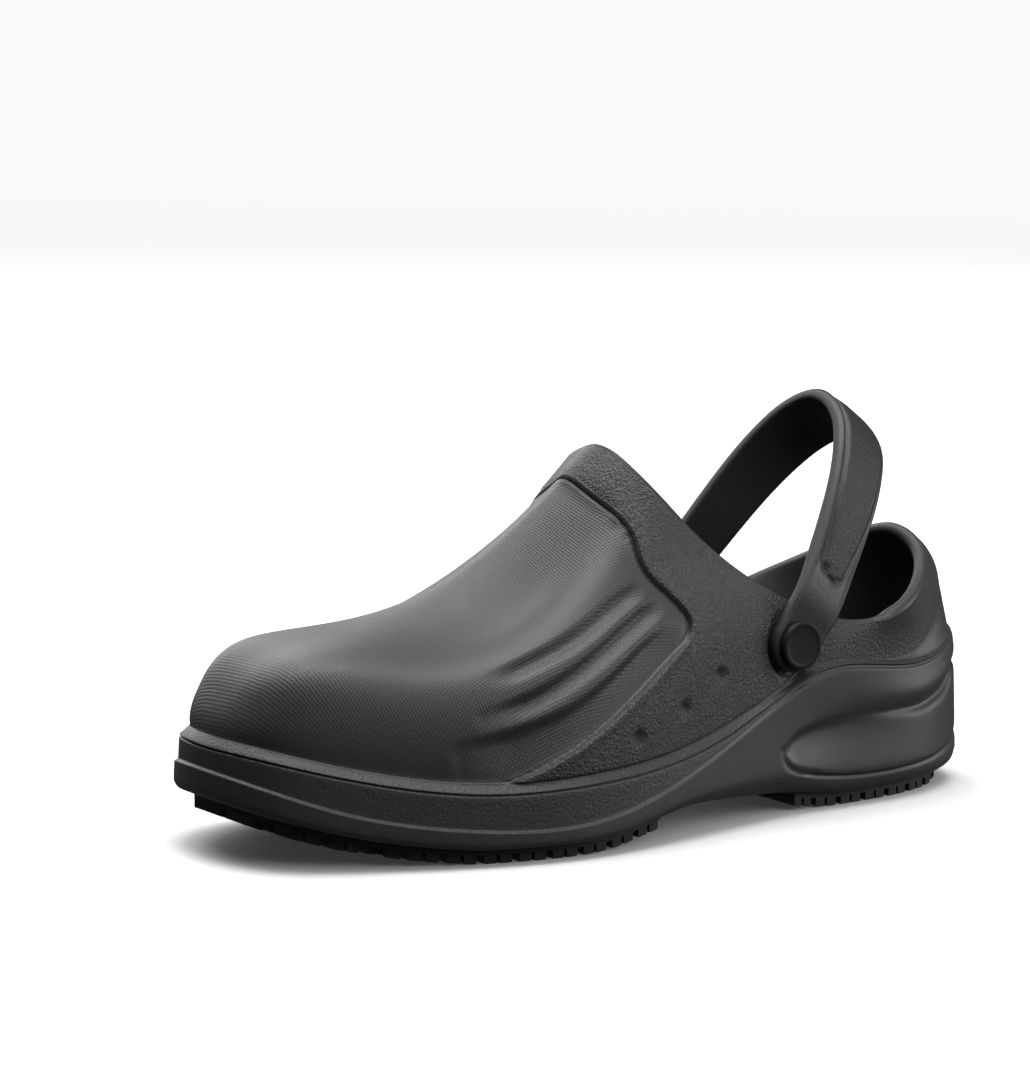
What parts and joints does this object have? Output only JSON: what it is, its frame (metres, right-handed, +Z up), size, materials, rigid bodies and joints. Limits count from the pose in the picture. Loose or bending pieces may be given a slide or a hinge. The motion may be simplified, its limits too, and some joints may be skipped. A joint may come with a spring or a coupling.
{
  "type": "chef clog",
  "caption": "Closed-toe moulded foam clog for the left foot with a raised collar band, side grooves, lugged rubber sole pads and a turning heel strap on two rivets.",
  "frame": {"origin": "on the floor, under the middle of the shoe's box", "axes": "+X towards the toe, +Y towards the lateral side of a left shoe, +Z up from the floor"},
  "size_m": [0.2886, 0.1118, 0.134],
  "materials": {
    "foam": "satin moulded foam, fine grid on the vamp and pebble grain on the band and sides",
    "strap_foam": "satin moulded foam, fine grain on the raised centre panel",
    "outsole_rubber": "matte black rubber lugs",
    "insole_foam": "matte dark foam sock",
    "rivet_plastic": "black plastic with a soft gloss"
  },
  "bodies": {
    "root": {"upper_and_midsole": "foam", "outsole_heel": "outsole_rubber", "outsole_forefoot": "outsole_rubber", "insole": "insole_foam", "heel_strap": "strap_foam", "rivet_cap_lateral": "rivet_plastic", "rivet_cap_medial": "rivet_plastic", "rivet_button_lateral": "rivet_plastic", "rivet_button_medial": "rivet_plastic"}
  },
  "joints": []
}
